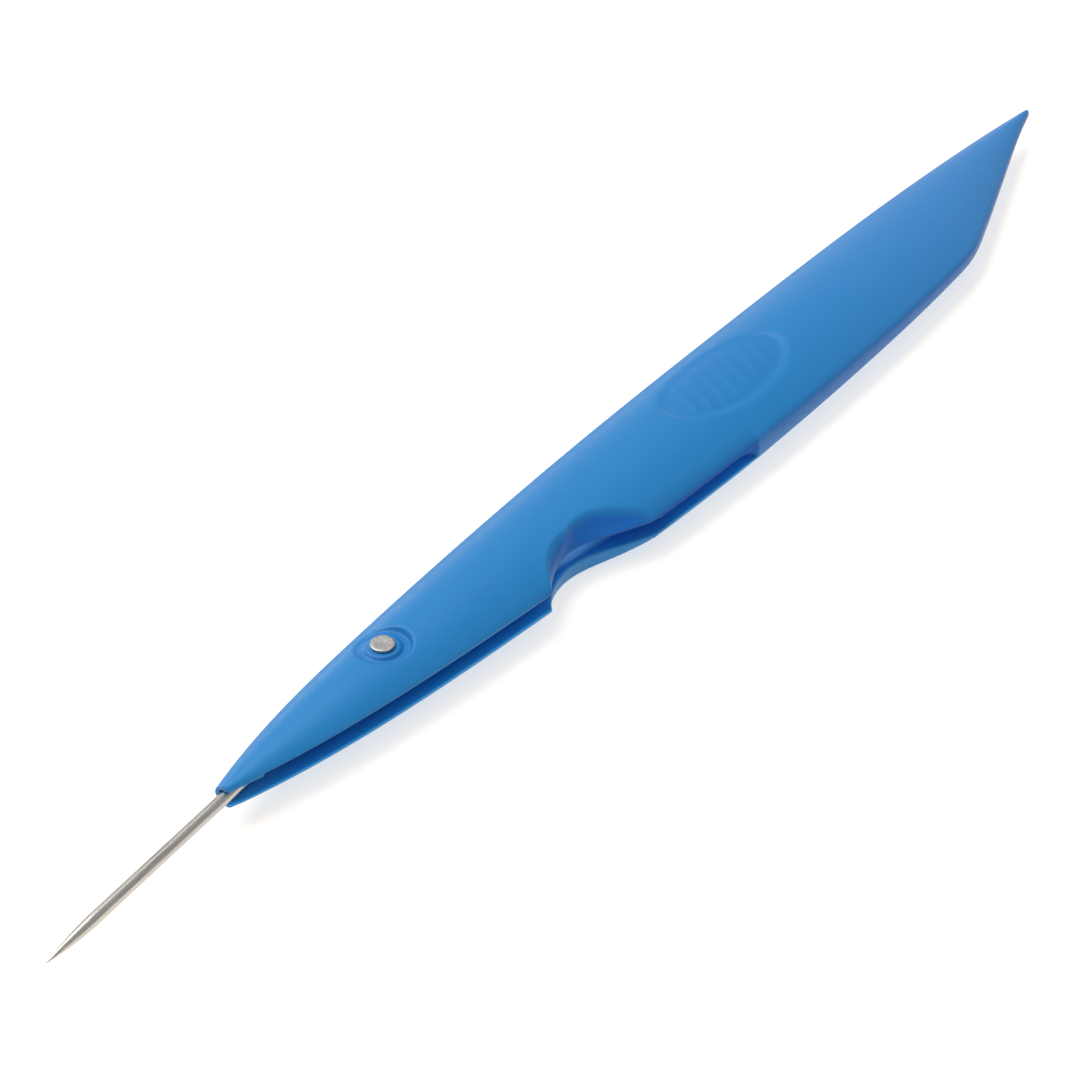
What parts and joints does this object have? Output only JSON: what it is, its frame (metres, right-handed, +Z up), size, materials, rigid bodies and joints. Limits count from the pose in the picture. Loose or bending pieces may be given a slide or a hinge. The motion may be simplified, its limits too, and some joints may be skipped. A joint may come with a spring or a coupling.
{
  "type": "folding scratch awl",
  "caption": "Folding scratch awl: a round pointed steel needle on a rivet folds into the slotted edge of a slim lens-shaped plastic handle with a thumb scoop and an oblique tapered tail",
  "frame": {"origin": "Under the middle of the open awl's bounding box, on the surface that it lies on", "axes": "+X runs from the needle's point to the tail of the handle, +Y from the slotted edge towards the spine, +Z up, square to the cheeks; the awl lies flat on its lower cheek"},
  "size_m": [0.2172, 0.0236, 0.008],
  "materials": {
    "handle_plastic": "satin moulded",
    "needle_steel": "satin ground",
    "rivet_steel": "satin"
  },
  "bodies": {
    "handle": {"handle": "handle_plastic", "pivot_rivet": "rivet_steel"},
    "needle": {"needle": "needle_steel"}
  },
  "joints": [
    {"name": "needle_fold", "type": "hinge", "parent": "handle", "child": "needle", "pos_m": [-0.04997, 0.00644, 0.004], "axis": [0, 0, 1], "range_deg": [0, 167.4]}
  ]
}
